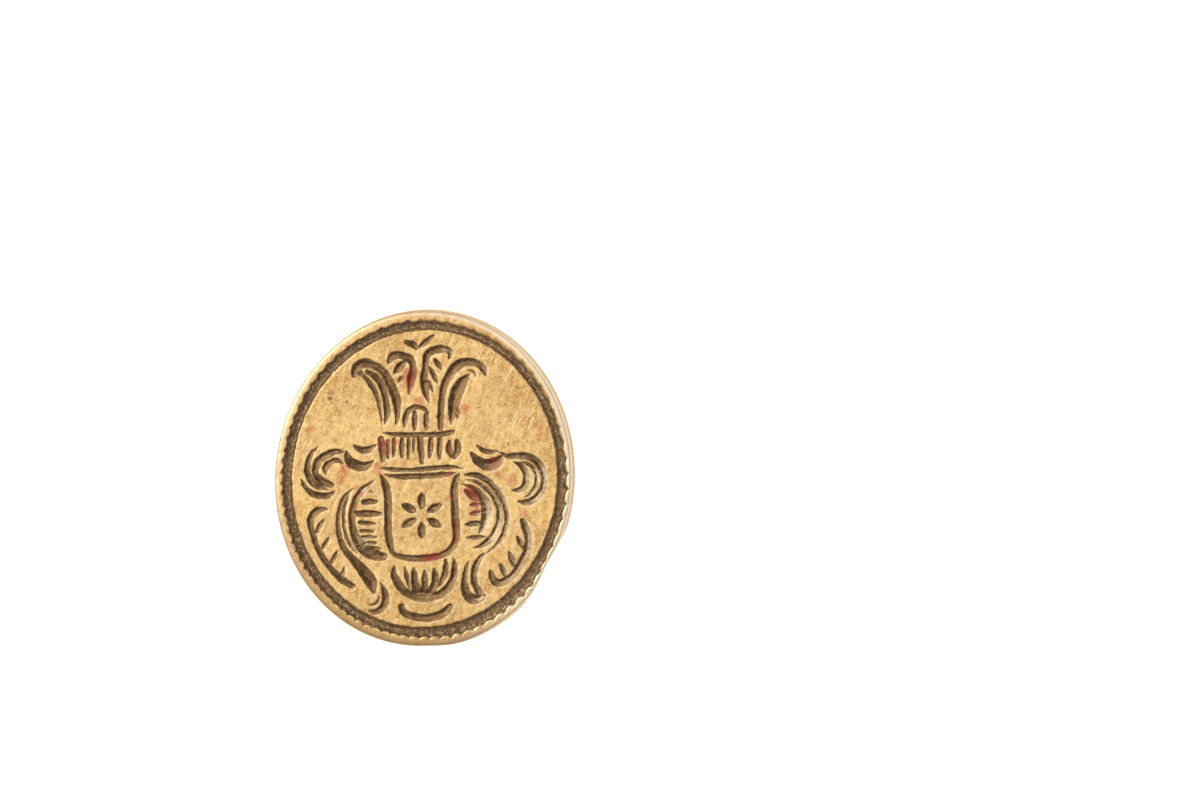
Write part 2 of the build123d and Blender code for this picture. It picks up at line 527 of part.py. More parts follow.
def ferrule_pin(grow):
    """One pin through the ferrule's wall, with a rounded head where it isn't enlarged to cut its hole."""
    share = PIN_RISE / FERRULE_HEIGHT
    surface = FERRULE_FOOT_RADIUS + (FERRULE_TOP_RADIUS - FERRULE_FOOT_RADIUS) * share
    outer = surface + PIN_PROUD
    pin = radial(PIN_RADIUS + grow, outer - PIN_LENGTH - grow, outer, Z_FERRULE + PIN_RISE)
    if grow:
        return pin
    return chamfer(pin.edges().sort_by(Axis.X)[-1], PIN_PROUD)


def ferrule_pins(grow):
    """The two pins, on opposite sides of the ferrule."""
    pin = ferrule_pin(grow)
    return Part() + [pin, Rot(0, 0, 180) * pin]


def ferrule():
    """The capped brass ring over the end of the wood."""
    outline = Polyline(
        (FERRULE_FOOT_RADIUS - FERRULE_WALL, Z_FERRULE), (FERRULE_FOOT_RADIUS, Z_FERRULE),
        (FERRULE_TOP_RADIUS, Z_COLLAR), (THREAD_RADIUS + FIT, Z_COLLAR), (THREAD_RADIUS + FIT, Z_WOOD_TOP),
        (FERRULE_TOP_RADIUS - FERRULE_WALL, Z_WOOD_TOP), (FERRULE_FOOT_RADIUS - FERRULE_WALL, Z_FERRULE))
    ring = softened(turned(outline), (FERRULE_FOOT_RADIUS, Z_FERRULE))
    return ring - ferrule_pins(FIT)


def index_pin(grow):
    """The dot let into the grip's bulb under the top of the device, enlarged by a clearance."""
    outer = GRIP_BULB_RADIUS + INDEX_PROUD
    pin = radial(INDEX_RADIUS + grow, outer - INDEX_LENGTH - grow, outer, Z_GRIP + GRIP_BULB_RISE)
    if not grow:
        pin = chamfer(pin.edges().sort_by(Axis.X)[-1], INDEX_PROUD)
    return Rot(0, 0, 90 + DEVICE_TURN) * pin


def end_cap_screw(grow):
    """The countersunk wood screw, or the hole for it when enlarged by a clearance."""
    head = SCREW_HEAD_RADIUS + grow
    shank = SCREW_SHANK_RADIUS + grow
    cone_top = SCREW_SUNK + SCREW_CONE
    tip = SCREW_SUNK + SCREW_LENGTH + grow
    screw = turned(Polyline((0, SCREW_SUNK), (head, SCREW_SUNK), (shank, cone_top),
                            (shank, tip - SCREW_POINT), (0, tip), (0, SCREW_SUNK)))
    if grow:
        return screw + post(head, 0, SCREW_SUNK)
    slot = Box(2 * SCREW_HEAD_RADIUS, SLOT_WIDTH, 2 * SLOT_DEPTH)
    return screw - Pos(0, 0, SCREW_SUNK) * slot


def end_cap():
    """The brass pommel: a flat foot with a rounded edge, hollowed for the end of the grip."""
    foot_round = CAP_RADIUS - CAP_FOOT_RADIUS
    foot = Line((0, 0), (CAP_FOOT_RADIUS, 0))
    edge = CenterArc((CAP_FOOT_RADIUS, foot_round), foot_round, -90, 90)
    seat = CAP_SPIGOT_RADIUS + FIT
    wall = Polyline((CAP_RADIUS, foot_round), (CAP_RADIUS, CAP_HEIGHT), (seat, CAP_HEIGHT),
                    (seat, CAP_FLOOR), (0, CAP_FLOOR), (0, 0))
    cap = softened(turned(foot, edge, wall), (CAP_RADIUS, CAP_HEIGHT))
    return cap - end_cap_screw(FIT)


def handle():
    """The turned grip, with its spigots and the holes for tang, screw and pins."""
    low = CAP_FLOOR + FIT
    top = Z_WOOD_TOP - FIT
    inset = FERRULE_WALL + FIT
    low_spigot = Polyline((0, low), (CAP_SPIGOT_RADIUS, low), (CAP_SPIGOT_RADIUS, Z_GRIP),
                          (GRIP_FOOT_RADIUS, Z_GRIP))
    grip = Spline((GRIP_FOOT_RADIUS, Z_GRIP), (GRIP_BULB_RADIUS, Z_GRIP + GRIP_BULB_RISE),
                  (GRIP_WAIST_RADIUS, Z_GRIP + GRIP_WAIST_RISE), (FERRULE_FOOT_RADIUS, Z_FERRULE),
                  tangents=[(GRIP_FOOT_LEAN, 1), (0, 1), (0, 1), (GRIP_TOP_LEAN, 1)])
    high_spigot = Polyline((FERRULE_FOOT_RADIUS, Z_FERRULE), (FERRULE_FOOT_RADIUS - inset, Z_FERRULE),
                           (FERRULE_TOP_RADIUS - inset, top), (0, top), (0, low))
    wood = turned(low_spigot, grip, high_spigot)
    return wood - tang(FIT) - end_cap_screw(FIT) - ferrule_pins(FIT) - index_pin(FIT)


pieces = {
    "seal_plate": seal_plate(),
    "plate_socket": plate_socket(),
    "friction_washer": friction_washer(),
    "neck_collar": neck_collar(),
    "tang_stud": tang_stud(),
    "ferrule": ferrule(),
    "ferrule_pins": ferrule_pins(0),
    "handle": handle(),
    "index_pin": index_pin(0),
    "end_cap": end_cap(),
    "end_cap_screw": end_cap_screw(0),
}

for name, piece in pieces.items():
    export_step(piece, f"parts/{name}.step")
    state = "valid" if piece.is_valid else "BAD"
    print(name, len(piece.solids()), "solids", round(piece.volume, 2), "mm3", state)
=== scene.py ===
import json
import math

import bmesh
import bpy
import numpy as np
from mathutils import Matrix, Vector, noise
from mathutils.bvhtree import BVHTree


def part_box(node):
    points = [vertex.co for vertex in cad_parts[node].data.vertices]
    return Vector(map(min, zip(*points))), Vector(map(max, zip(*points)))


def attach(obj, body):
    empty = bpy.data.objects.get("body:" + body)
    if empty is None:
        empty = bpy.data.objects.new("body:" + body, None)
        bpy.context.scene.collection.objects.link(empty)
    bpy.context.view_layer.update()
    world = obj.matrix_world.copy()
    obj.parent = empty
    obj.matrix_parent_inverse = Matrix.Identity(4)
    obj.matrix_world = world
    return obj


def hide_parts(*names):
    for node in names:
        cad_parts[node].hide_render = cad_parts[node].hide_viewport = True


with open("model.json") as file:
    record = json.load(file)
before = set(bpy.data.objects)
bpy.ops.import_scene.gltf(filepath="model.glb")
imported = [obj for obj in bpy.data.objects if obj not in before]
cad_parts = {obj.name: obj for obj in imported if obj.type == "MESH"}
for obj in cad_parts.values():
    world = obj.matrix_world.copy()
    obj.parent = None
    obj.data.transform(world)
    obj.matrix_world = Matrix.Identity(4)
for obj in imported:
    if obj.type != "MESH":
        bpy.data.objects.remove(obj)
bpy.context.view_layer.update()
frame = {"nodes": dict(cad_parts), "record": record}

# One millimetre, in Blender's metres. Every size below is in millimetres. A way is an angle round the
# oval, from its right side towards its top. A fade is the pair of values between which something sets
# in: beside a way, they are cosines of the angle from it.
MM = 0.001

# How the face lies under the camera
DEVICE_TURN = math.radians(5.2)
CAMERA_HEIGHT = 150.0
CAMERA_NEAR = 10.0
VIEW_WIDTH = 89.3
VIEW_CENTRE = (12.57, 7.01)
SENSOR_WIDTH = 36.0

# Lights: the side of each square lamp, its power in watts and its place from the middle of the face
OVERHEAD_LIGHT = {"side": 700, "power": 0.8, "place": (60, 60, 700)}
KEY_LIGHT = {"side": 420, "power": 3.2, "place": (-500, 240, 380)}
# Surroundings: the way to their brightest part, their strength on the far side, and the gain towards it
BRIGHT_TOWARDS = (-0.8, 0.39, 0.45)
BRIGHT_FADE = (-0.7, 0.9)
ROOM_STRENGTH = 0.5
BRIGHT_GAIN = 0.35
FLOOR_REACH = 3000.0

# Engraved face: cells across it, the shares of the oval where the border groove and the rim begin, and
# the share from which the mesh is drawn towards the worn outline
FACE_CELLS = 292
GROOVE_SHARE = 0.875
RIM_SHARE = 0.92
RIM_BLEND = 0.9
# What counts as a level face of the solid, as its land, as the floor of a cut, and as no distance at all
LEVEL_LEAST = 0.99
LAND_SLACK = 0.01
FLOOR_DROP = 0.1
HAIR = 1e-5

# The graver's strokes: slope of the walls, depth that the widest come near, lean of the deepest line
# towards the light, chatter on the floor, and the round of the lips
CUT_SLOPE = 0.95
CUT_LIMIT = 1.1
CUT_LEAN = 0.35
CUT_RIPPLE = 0.03
CUT_RIPPLE_PITCH = 0.22
CUT_RIPPLE_FADE = (0.05, 0.2)
LIP_ROUND = 0.02
LIP_LIMIT = 40

# The border groove: its depth, the rise of its bed towards the rim, the run of its walls, the side where
# the outer wall is eased and bare, and the factor on how far its walls are marked as facing the light
# for painted light and shade
GROOVE_DEPTH = 0.36
GROOVE_BED_FADE = (0.35, 1.0)
GROOVE_SHALLOW = 0.6
GROOVE_INNER_WALL = 0.12
GROOVE_OUTER_WALL = 0.05
GROOVE_OUTER_EASE = 0.1
GROOVE_EASE_WAY = math.radians(50)
GROOVE_EASE_FADE = (0.6, 0.95)
GROOVE_BARE = 0.16
GROOVE_LIT = -0.1
GROOVE_LIT_WAY = math.radians(-20)
GROOVE_LIT_FADE = (-0.4, 0.6)

# Lips of the cuts: where the light comes from, the step that finds which way a wall faces, how far a
# sharp lip stands inside the drawn edge, and the burr outside it
LIGHT_FROM = (-0.9, 0.44)
FACING_STEP = 0.04
SHARP_REACH = 0.05
BURR_HEIGHT = 0.008
BURR_WIDTH = 0.14

# Unevenness of hand work, with the plane of the noise that each kind is cut from
EDGE_WANDER = 0.05
EDGE_WANDER_PITCH = 0.36
EDGE_WANDER_PLANES = (1.7, 8.3)
UNEVEN_MEAN = 0.6
UNEVEN_SWING = 0.8
UNEVEN_LEAST = 0.1
UNEVEN_PLANE = 5.5
FINE_RIPPLE_PLANE = 6.1
COARSE_RIPPLE_PLANE = 9.4
LAND_WAVE = 0.014
LAND_WAVE_PITCH = 2.6
LAND_WAVE_PLANE = 2.2

# The worn edge: its drop and its reach, the angle over which corners of the outline are worn round, and
# the fuller stretch at the lower right, where the groove is wider too
EDGE_DROP = 0.2
EDGE_WEAR = 0.36
CORNER_WEAR = math.radians(4)
SWELL = 0.2
SWELL_WAY = math.radians(-56)
SWELL_FADE = (0.88, 0.97)
GROOVE_SWELL = 0.15
# Height over the back at which the plate's edge ends
BACK_RISE = 1.5
# Rays that measure the solid: how far outside they start, how far they pass from an edge, and how high
# in the recess one is sent
RAY_START = 40.0
RAY_LIFT = 0.01
RECESS_PROBE = 0.5

# Painted tones of the rim and the plate's edge (a pale painted reflection on the rim, painted shade on
# the low rim, the outline and the edge): reach inwards, strength, and where round the oval they lie
RIM_PALE_REACH = 0.5
RIM_PALE_LEAST = 0.3
RIM_PALE_WAY = math.radians(10)
RIM_PALE_FADE = (-0.3, 0.7)
RIM_LOW_REACH = 0.75
RIM_LOW_SHADE = 0.8
RIM_LOW_WAY = math.radians(-100)
RIM_LOW_FADE = (0.5, 1.0)
RIM_DARK_REACH = 0.15
RIM_DARK_WAY = math.radians(150)
RIM_DARK_FADE = (-0.2, 0.6)
SIDE_DARK = 0.6
SIDE_DARK_WAY = math.radians(20)
SIDE_DARK_FADE = (0.3, 0.8)

# What the plate's finish reads at each vertex, painted light and shade among it, and how far into or out
# of a cut its distance is kept
PLATE_MARKS = ("inside", "facing", "rim", "low_rim_shade", "side", "dust_and_painted_light", "wax", "stain")
MARK_REACH = 0.5

# Traces of red wax on the face: x, y, reach and strength, with the top of the device upwards
WAX_TRACES = [
    (-0.95, 7.75, 0.55, 0.7), (-1.05, 7.1, 0.5, 0.9), (-1.1, 6.5, 0.3, 0.7), (-3.0, 2.55, 0.4, 1.0),
    (-2.75, 2.1, 0.35, 0.9), (-2.1, 2.7, 0.3, 0.7), (-5.85, 0.75, 0.4, 0.9), (-6.05, 0.3, 0.4, 1.0),
    (-6.2, -0.15, 0.35, 0.9), (0.4, -5.85, 0.45, 1.0), (0.9, -5.8, 0.4, 1.0), (2.4, -3.4, 0.4, 0.5),
    (2.45, -4.1, 0.35, 0.4), (2.45, -4.7, 0.35, 0.5), (3.45, -0.9, 0.5, 0.8), (3.9, -1.5, 0.5, 0.9),
    (4.1, -2.1, 0.45, 0.8), (3.7, -2.6, 0.45, 0.6), (5.35, 1.25, 0.5, 0.7), (5.5, 0.4, 0.3, 0.5),
    (8.5, 3.9, 0.3, 0.6), (8.65, 3.4, 0.3, 0.7), (6.6, -0.2, 0.45, 0.7), (7.5, -2.6, 0.35, 0.6),
    (3.1, 5.2, 0.4, 0.6), (-8.4, 3.7, 0.35, 0.6), (-3.4, 0.9, 0.35, 0.7), (-3.3, 0.4, 0.3, 0.6),
    (2.0, 0.3, 0.35, 0.6), (1.9, 2.3, 0.35, 0.6), (-0.3, 5.7, 0.45, 0.6), (-1.5, 1.3, 0.35, 0.5),
    (2.0, -1.4, 0.3, 0.5), (-4.7, -1.2, 0.3, 0.6), (-4.9, -2.1, 0.3, 0.5), (-6.4, -2.7, 0.3, 0.4),
    (-1.4, 7.5, 0.35, 0.8), (-1.3, 7.95, 0.3, 0.7), (-1.35, 6.9, 0.3, 0.6),
]
# Pale dust in the cuts, which on walls facing the light is also painted light
DUST_TRACES = [
    (4.9, -2.5, 1.2, 1.0), (5.2, -3.8, 1.0, 0.9), (5.0, -0.9, 0.9, 0.7), (6.0, -1.9, 0.7, 0.5),
    (8.9, 0.2, 0.9, 1.0), (7.8, 0.3, 0.7, 0.8), (8.3, -1.3, 0.7, 0.6), (7.9, -4.2, 0.9, 0.7),
    (7.7, -5.4, 0.9, 0.5), (6.6, -7.2, 0.9, 0.35), (4.2, -8.7, 0.4, 0.8), (1.8, 9.6, 0.5, 0.6),
    (4.2, 8.5, 0.7, 0.5), (-0.3, -8.9, 1.2, 0.12), (-4.6, -4.9, 0.8, 0.9), (-4.4, -1.1, 0.6, 0.5),
]
# Dark stains on the land, and broad faint ones
STAINS = [
    (-6.85, 6.35, 0.25, 1.0), (-6.95, 5.95, 0.2, 0.9), (-7.3, 7.0, 0.2, 0.5), (-5.7, 5.7, 0.14, 0.8),
    (1.9, 4.6, 0.2, 0.5), (6.1, 5.5, 0.12, 0.8), (6.3, 2.6, 0.12, 0.8), (-4.5, 3.6, 0.15, 0.6),
    (-7.0, -3.4, 1.0, 0.2), (0.3, -9.6, 1.0, 0.22), (-2.6, 10.0, 0.9, 0.14), (0.0, 4.7, 0.9, 0.14),
    (-3.7, -0.6, 0.9, 0.12), (4.3, 3.2, 0.9, 0.12),
]
# The shares of its reach between which a trace fades out
TRACE_FADE = (0.4, 1.3)
# A thin film of pale dust, also painted light on the cuts as it thickens to the right: its strength, the
# stretch of x over which it thickens, and its strength in the groove
DUST_AND_LIGHT_FILM = 0.25
DUST_AND_LIGHT_FILM_FADE = (2.0, 7.0)
GROOVE_DUST = 0.6
# Pitch of the graver's lines along a cut
TOOL_LINE_PITCH = 0.2

# Wood: pitch of the growth rings, and the heart's place off the axis
RING_PITCH = 1.25
HEART_PLACE = (6.0, 4.0)


# Shader maths

class Surface:
    """A value that varies over a surface: one output of a shader node. Operators add Math nodes."""

    def __init__(self, tree, socket=None):
        self.tree = tree
        self.socket = socket

    def node(self, kind, settings=None, inputs=None, output=0):
        """Add a node: its settings first, then the values or links of its sockets."""
        made = self.tree.nodes.new(kind)
        for name, value in (settings or {}).items():
            setattr(made, name, value)
        for name, value in (inputs or {}).items():
            if isinstance(value, Surface):
                self.tree.links.new(value.socket, made.inputs[name])
            else:
                made.inputs[name].default_value = value
        return Surface(self.tree, made.outputs[output])

    def maths(self, operation, first, second=0.0):
        return self.node("ShaderNodeMath", {"operation": operation}, {0: first, 1: second})

    def __add__(self, other):
        return self.maths("ADD", self, other)

    def __radd__(self, other):
        return self.maths("ADD", other, self)

    def __sub__(self, other):
        return self.maths("SUBTRACT", self, other)

    def __rsub__(self, other):
        return self.maths("SUBTRACT", other, self)

    def __mul__(self, other):
        return self.maths("MULTIPLY", self, other)

    def __rmul__(self, other):
        return self.maths("MULTIPLY", other, self)

    def between(self, low, high):
        """0 below low, 1 above high and a smooth step between."""
        settings = {"interpolation_type": "SMOOTHSTEP"}
        return self.node("ShaderNodeMapRange", settings, {0: self, 1: low, 2: high, 3: 0.0, 4: 1.0})

    def mix(self, colour, other):
        """The first colour where this is 0, and the other where it is 1."""
        settings = {"data_type": "RGBA"}
        return self.node("ShaderNodeMix", settings, {0: self, 6: shade(colour), 7: shade(other)}, output=2)

    def noise(self, pitch, detail=3.0, roughness=0.5, stretch=(1, 1, 1), turn=(0, 0, 0)):
        """Noise on these coordinates, with lumps of about the given pitch in millimetres."""
        angles = [math.radians(angle) for angle in turn]
        mapped = self.node("ShaderNodeMapping", {"vector_type": "TEXTURE"}, {
            "Vector": self, "Rotation": angles, "Scale": [1 / part for part in stretch]})
        return self.node("ShaderNodeTexNoise", None, {
            "Vector": mapped, "Scale": 1 / (pitch * MM), "Detail": detail, "Roughness": roughness})


def shade(colour):
    """A colour as a socket takes it: a link stays, and three numbers get an alpha of 1."""
    return colour if isinstance(colour, Surface) else (*colour, 1)


def finish_of(name, build):
    """A material with a Principled shader, whose sockets come from the build function."""
    material = bpy.data.materials.new(name)
    material.use_nodes = True
    tree = material.node_tree
    shader = tree.nodes["Principled BSDF"]
    place = Surface(tree).node("ShaderNodeTexCoord", output="Object")
    for socket, value in build(place).items():
        if isinstance(value, Surface):
            tree.links.new(value.socket, shader.inputs[socket])
        else:
            shader.inputs[socket].default_value = value
    return material


def bumped(height, strength, distance):
    """The normal of a surface with fine relief, whose full height is given in millimetres."""
    return height.node("ShaderNodeBump", None, {
        "Strength": strength, "Distance": distance * MM, "Height": height})


# Finishes

def worn_land(place, mark, mottle, grain):
    """Colour and relief of the plate's land: mottled gold, freckles, scratches, pits and stains, with
    painted highlights on lips that face the light, a painted pale reflection on the rim and painted shade
    on the low rim and the outline.
    """
    broad = place.noise(3.2, detail=2)
    blush = place.noise(0.9, detail=4, roughness=0.65).between(0.52, 0.7)
    freckles = place.noise(0.21, detail=2, roughness=0.6).between(0.6, 0.7)
    brushing = place.noise(0.3, detail=3, stretch=(1, 0.15, 1), turn=(0, 0, -8))
    pits = place.noise(0.24, detail=1).between(0.7, 0.76)
    scratch_a = place.noise(0.09, detail=1, stretch=(1, 0.04, 1), turn=(0, 0, 48)).between(0.66, 0.72)
    scratch_b = place.noise(0.09, detail=1, stretch=(1, 0.03, 1), turn=(0, 0, -25)).between(0.67, 0.73)
    scratches = scratch_a + scratch_b
    patches = mottle.between(0.35, 0.6)
    # Painted highlight: mask for cream on the land just beside cut walls that face the light
    painted_lip_highlight = mark["inside"].between(-0.26, -0.05) * mark["facing"].between(0.0, 0.8) * patches

    tone = mottle * 0.7 + broad * 0.3
    gold = tone.between(0.38, 0.62).mix((0.42, 0.205, 0.05), (0.73, 0.47, 0.165))
    gold = (blush * 0.4).mix(gold, (0.45, 0.19, 0.075))
    gold = (brushing.between(0.42, 0.62) * 0.3).mix(gold, (0.86, 0.61, 0.29))
    gold = (grain.between(0.42, 0.62) * 0.4).mix(gold, (0.9, 0.66, 0.34))
    gold = (freckles * 0.5).mix(gold, (0.29, 0.13, 0.045))
    gold = (scratches * 0.4).mix(gold, (0.95, 0.76, 0.45))
    # Painted reflection: pale cream on the rim, strongest at the right
    gold = (mark["rim"] * 0.8).mix(gold, (0.88, 0.74, 0.56))
    gold = (pits * 0.55).mix(gold, (0.13, 0.07, 0.03))
    gold = (mark["stain"] * patches).mix(gold, (0.1, 0.055, 0.035))
    # Painted highlight along the lips that face the light
    gold = (painted_lip_highlight * 0.5).mix(gold, (0.92, 0.76, 0.5))
    # Painted shade: darker gold on the lower rim, which turns away from the light
    gold = (mark["low_rim_shade"] * 0.9).mix(gold, (0.4, 0.23, 0.09))
    # Painted shade: a dark outline at the upper left of the rim and a darker band on the plate's edge at
    # the right
    gold = (mark["side"] * 0.75).mix(gold, (0.32, 0.2, 0.125))
    relief = mottle * 0.5 + grain * 0.7 - pits * 0.6 - scratches * 0.3 - freckles * 0.3
    return gold, relief


def cut_patina(place, mark, mottle, grain):
    """Colour in the cuts: brown with painted shade on walls that face away from the light and painted light
    on walls that face it, the graver's lines, pale powder that lies only on walls facing the light and so
    is partly painted light, and flecks.
    """
    inside = mark["inside"]
    dust_and_painted_light = mark["dust_and_painted_light"]
    # Share of painted light on walls that face the light; walls facing away take painted shade
    lit = mark["facing"].between(-0.2, 0.7)
    flecks = place.noise(0.17, detail=2).between(0.57, 0.66)
    streaks = grain * 0.5 + mottle * 0.5
    heaps = place.noise(0.4, detail=4).between(0.25, 0.52)
    # Pale powder only on walls that face the light: dust that is partly painted light
    powder_and_painted_light = dust_and_painted_light * lit * heaps * (0.4 + grain.between(0.38, 0.52) * 0.6)
    wave = inside.maths("SINE", inside * (2 * math.pi / TOOL_LINE_PITCH) + place.noise(1.4, detail=1) * 14)
    tool_lines = wave.between(0.2, 0.9) * mottle.between(0.4, 0.6)

    brown = streaks.between(0.38, 0.62).mix((0.065, 0.028, 0.008), (0.2, 0.095, 0.028))
    # Painted shade: dark brown on walls that face away from the light
    brown = ((1 - lit) * (0.45 - dust_and_painted_light * 0.4)).mix(brown, (0.04, 0.016, 0.005))
    # Painted light: lighter brown on walls that face the light
    brown = (lit * (0.36 + dust_and_painted_light * 0.4)).mix(brown, (0.33, 0.18, 0.064))
    brown = (tool_lines * 0.5).mix(brown, (0.44, 0.28, 0.12))
    brown = (powder_and_painted_light * 0.9).mix(brown, (0.64, 0.5, 0.3))
    brown = (grain.between(0.52, 0.64) * 0.3).mix(brown, (0.42, 0.28, 0.14))
    return (flecks * (0.12 + dust_and_painted_light * 0.6)).mix(brown, (0.6, 0.52, 0.41))


def engraved_brass(place):
    """Worn brass land, brown patina in the cuts with painted light and shade on their walls, pale dust on
    the right that is partly painted light, and traces of red wax.
    """
    mark = {name: place.node("ShaderNodeAttribute", {"attribute_name": name}, output="Fac")
            for name in PLATE_MARKS}
    mottle = place.noise(0.5, detail=5, roughness=0.7)
    grain = place.noise(0.13, detail=3, roughness=0.7)
    gold, relief = worn_land(place, mark, mottle, grain)
    ragged = mark["inside"] + (grain - 0.5) * 0.1
    patina = ragged.between(-0.04, 0.01)
    metal = patina.mix(gold, cut_patina(place, mark, mottle, grain))
    film = mark["wax"] * place.noise(0.3, detail=5, roughness=0.75).between(0.38, 0.52)
    red = patina.mix((0.48, 0.08, 0.045), (0.27, 0.016, 0.009))
    return {
        "Base Color": (film * 0.88).mix(metal, red),
        "Metallic": (1 - patina * 0.5) * (1 - film * 0.9),
        "Roughness": 0.32 + patina * 0.12 + mottle * 0.14,
        "Specular Tint": (0.92, 0.8, 0.62, 1),
        "Normal": bumped(relief, 0.7, 0.03),
    }


def turned_brass(place):
    """Lathe-turned brass with fine rings, a thin brown tarnish and small bright rubs."""
    rings = place.noise(0.16, detail=2, stretch=(0.02, 0.02, 1))
    cloud = place.noise(2.4, detail=4, roughness=0.6)
    rubs = place.noise(0.12, detail=2, stretch=(0.3, 0.3, 1))
    specks = place.noise(0.3, detail=1).between(0.7, 0.76)
    tarnish = cloud.between(0.38, 0.72)
    gold = tarnish.mix((0.66, 0.42, 0.14), (0.5, 0.3, 0.095))
    gold = (rubs.between(0.56, 0.72) * 0.25).mix(gold, (0.8, 0.56, 0.22))
    gold = (specks * 0.6).mix(gold, (0.14, 0.075, 0.03))
    return {
        "Base Color": gold,
        "Metallic": 1 - specks * 0.6,
        "Roughness": 0.24 + tarnish * 0.16 + rings * 0.08,
        "Normal": bumped(rings + rubs * 0.3, 0.35, 0.015),
    }


def turned_steel(place):
    """Grey turned steel with fine rings and faint brown spotting."""
    rings = place.noise(0.12, detail=2, stretch=(0.02, 0.02, 1))
    cloud = place.noise(0.9, detail=5, roughness=0.65)
    spots = cloud.between(0.56, 0.7)
    return {
        "Base Color": (spots * 0.6).mix((0.42, 0.41, 0.39), (0.17, 0.1, 0.06)),
        "Metallic": 1 - spots * 0.5,
        "Roughness": 0.3 + spots * 0.25 + rings * 0.08,
        "Normal": bumped(rings, 0.3, 0.012),
    }


def waxed_hardwood(place):
    """Dark turned hardwood: growth rings round an off-centre heart, long pores and a waxed sheen."""
    swirl = place.noise(9.0, detail=3, stretch=(1, 1, 0.25))
    heart_x, heart_y = HEART_PLACE
    heart = place.node("ShaderNodeMapping", None, {
        "Vector": place, "Location": (heart_x * MM, heart_y * MM, 0), "Scale": (1, 1, 0.06)})
    reach = heart.node("ShaderNodeVectorMath", {"operation": "LENGTH"}, {0: heart}, output="Value")
    wave = reach.maths("SINE", reach * (2 * math.pi / (RING_PITCH * MM)) + swirl * 11.0)
    rings = wave * 0.5 + 0.5
    fibre = place.noise(0.3, detail=5, roughness=0.6, stretch=(1, 1, 0.05))
    pores = place.noise(0.16, detail=2, stretch=(1, 1, 0.07)).between(0.6, 0.68)
    cloud = place.noise(6.0, detail=3, stretch=(1, 1, 0.3))
    tone = rings * 0.2 + fibre * 0.5 + cloud * 0.3
    brown = tone.between(0.3, 0.7).mix((0.05, 0.016, 0.007), (0.17, 0.062, 0.024))
    brown = (pores * 0.7).mix(brown, (0.018, 0.007, 0.004))
    return {
        "Base Color": brown,
        "Roughness": 0.3 + fibre * 0.14 + pores * 0.2,
        "Coat Weight": 0.35 - pores * 0.25,
        "Coat Roughness": 0.18,
        "Normal": bumped(fibre * 0.4 - pores * 0.8 + rings * 0.1, 0.4, 0.03),
    }


def washer_leather(place):
    """Matt brown leather with a fibrous cut edge."""
    fibre = place.noise(0.14, detail=4, stretch=(1, 1, 2.5))
    cloud = place.noise(1.1, detail=3)
    tone = fibre * 0.6 + cloud * 0.4
    return {
        "Base Color": tone.between(0.3, 0.7).mix((0.075, 0.03, 0.014), (0.24, 0.115, 0.05)),
        "Roughness": 0.7 + fibre * 0.15,
        "Normal": bumped(fibre, 0.7, 0.05),
    }


def pale_floor(place):
    """The matt white sheet of a light table, with a barely visible tooth."""
    tooth = place.noise(1.5, detail=3)
    return {
        "Base Color": tooth.between(0.3, 0.7).mix((0.48, 0.48, 0.48), (0.5, 0.5, 0.5)),
        "Roughness": 0.9,
        "Emission Color": (1, 1, 1, 1),
        "Emission Strength": 0.75,
    }


# Measuring the plate

def smooth_step(fade, value):
    """0 below the first value of a fade, 1 above the second and a smooth step between."""
    low, high = fade
    share = np.clip((value - low) / (high - low), 0, 1)
    return share * share * (3 - 2 * share)


def towards(angle, way, fade):
    """1 close to a way, 0 well away from it."""
    return smooth_step(fade, np.cos(angle - way))


def swollen(angle):
    """1 where the plate is fullest, at its lower right, and 0 well away from there."""
    return towards(angle, SWELL_WAY, SWELL_FADE)


def noise_at(places, pitch, plane):
    """Smooth noise from -1 to 1 at flat places, with lumps of about the given pitch."""
    return np.array([noise.noise(Vector((x / pitch, y / pitch, plane))) for x, y, z in places])


def flat_tree(mesh, keep):
    """A nearest-point tree of the faces that are kept, pressed flat, in millimetres."""
    places = [(vert.co.x / MM, vert.co.y / MM, 0) for vert in mesh.vertices]
    faces = [tuple(face.vertices) for face in mesh.polygons if keep(face)]
    return BVHTree.FromPolygons(places, faces)


def solid_tree(mesh):
    """A tree of all the faces of a mesh, in millimetres."""
    places = [tuple(vert.co / MM) for vert in mesh.vertices]
    return BVHTree.FromPolygons(places, [tuple(face.vertices) for face in mesh.polygons])


def distances(tree, places):
    """How far each flat place is from the nearest face of a tree."""
    return np.array([tree.find_nearest(place)[3] for place in places])


def outline_reach(tree, angle, height):
    """The radius of a solid at an angle and height, from outside."""
    out = Vector((math.cos(angle), math.sin(angle), 0))
    hit = tree.ray_cast(out * RAY_START + Vector((0, 0, height)), -out)[0]
    return math.hypot(hit.x, hit.y)


def worn_reach(tree, angle, height):
    """The radius of a solid with the corners of its outline worn round, and swollen at one place."""
    turns = [angle + CORNER_WEAR * step for step in (-1, -0.5, 0, 0.5, 1)]
    reaches = [outline_reach(tree, turn, height) for turn in turns]
    own_reach = reaches[len(reaches) // 2]
    return min(own_reach, sum(reaches) / len(reaches)) + SWELL * swollen(angle)


def traces(places, spots):
    """How strongly round spots, listed with the top of the device upwards, mark each place."""
    mark = np.zeros(len(places))
    for x, y, reach, strength in spots:
        middle_x = x * math.cos(DEVICE_TURN) - y * math.sin(DEVICE_TURN)
        middle_y = x * math.sin(DEVICE_TURN) + y * math.cos(DEVICE_TURN)
        off = np.hypot(places[:, 0] - middle_x, places[:, 1] - middle_y) / reach
        mark = np.maximum(mark, strength * (1 - smooth_step(TRACE_FADE, off)))
    return mark


# The engraving

